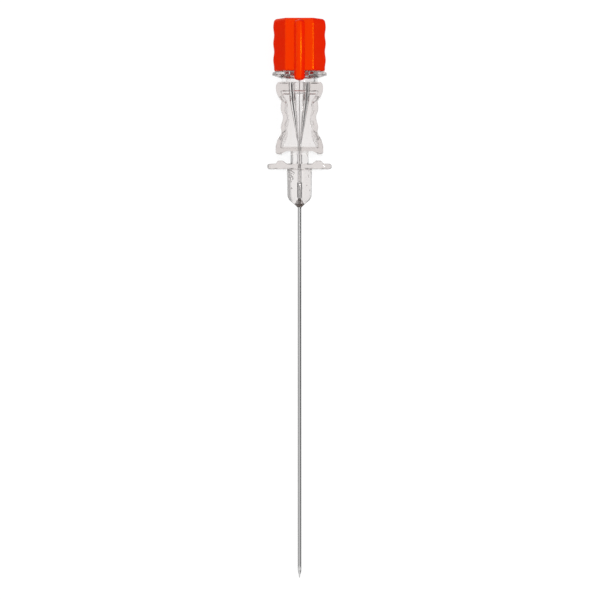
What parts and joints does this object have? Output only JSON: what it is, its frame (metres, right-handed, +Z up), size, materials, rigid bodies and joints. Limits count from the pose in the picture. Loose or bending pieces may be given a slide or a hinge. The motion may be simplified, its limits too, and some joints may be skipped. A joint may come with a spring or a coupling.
{
  "type": "spinal needle",
  "caption": "Fine steel spinal needle with a clear moulded finger-grip hub, a lancet bevel and a keyed orange stylet cap whose wire fills the bore; the stylet pulls out.",
  "frame": {"origin": "on the surface that the needle lies on, below the middle of its length and width", "axes": "+Y along the needle towards the stylet cap, +X across the finger grip, +Z up from the surface on the side of the key"},
  "size_m": [0.0092, 0.0808, 0.0078],
  "materials": {
    "clear_plastic": "clear moulded polycarbonate, polished",
    "ground_steel": "drawn and ground stainless steel",
    "cured_adhesive": "cured clear adhesive",
    "drawn_steel": "drawn stainless steel wire",
    "orange_plastic": "moulded opaque plastic, satin"
  },
  "bodies": {
    "needle": {"hub": "clear_plastic", "cannula": "ground_steel", "adhesive": "cured_adhesive"},
    "stylet": {"stylet_cap": "orange_plastic", "stylet_wire": "drawn_steel"}
  },
  "joints": [
    {"name": "stylet_slide", "type": "slide", "parent": "needle", "child": "stylet", "axis": [0, 1, 0], "range_m": [0, 0.0735]}
  ]
}
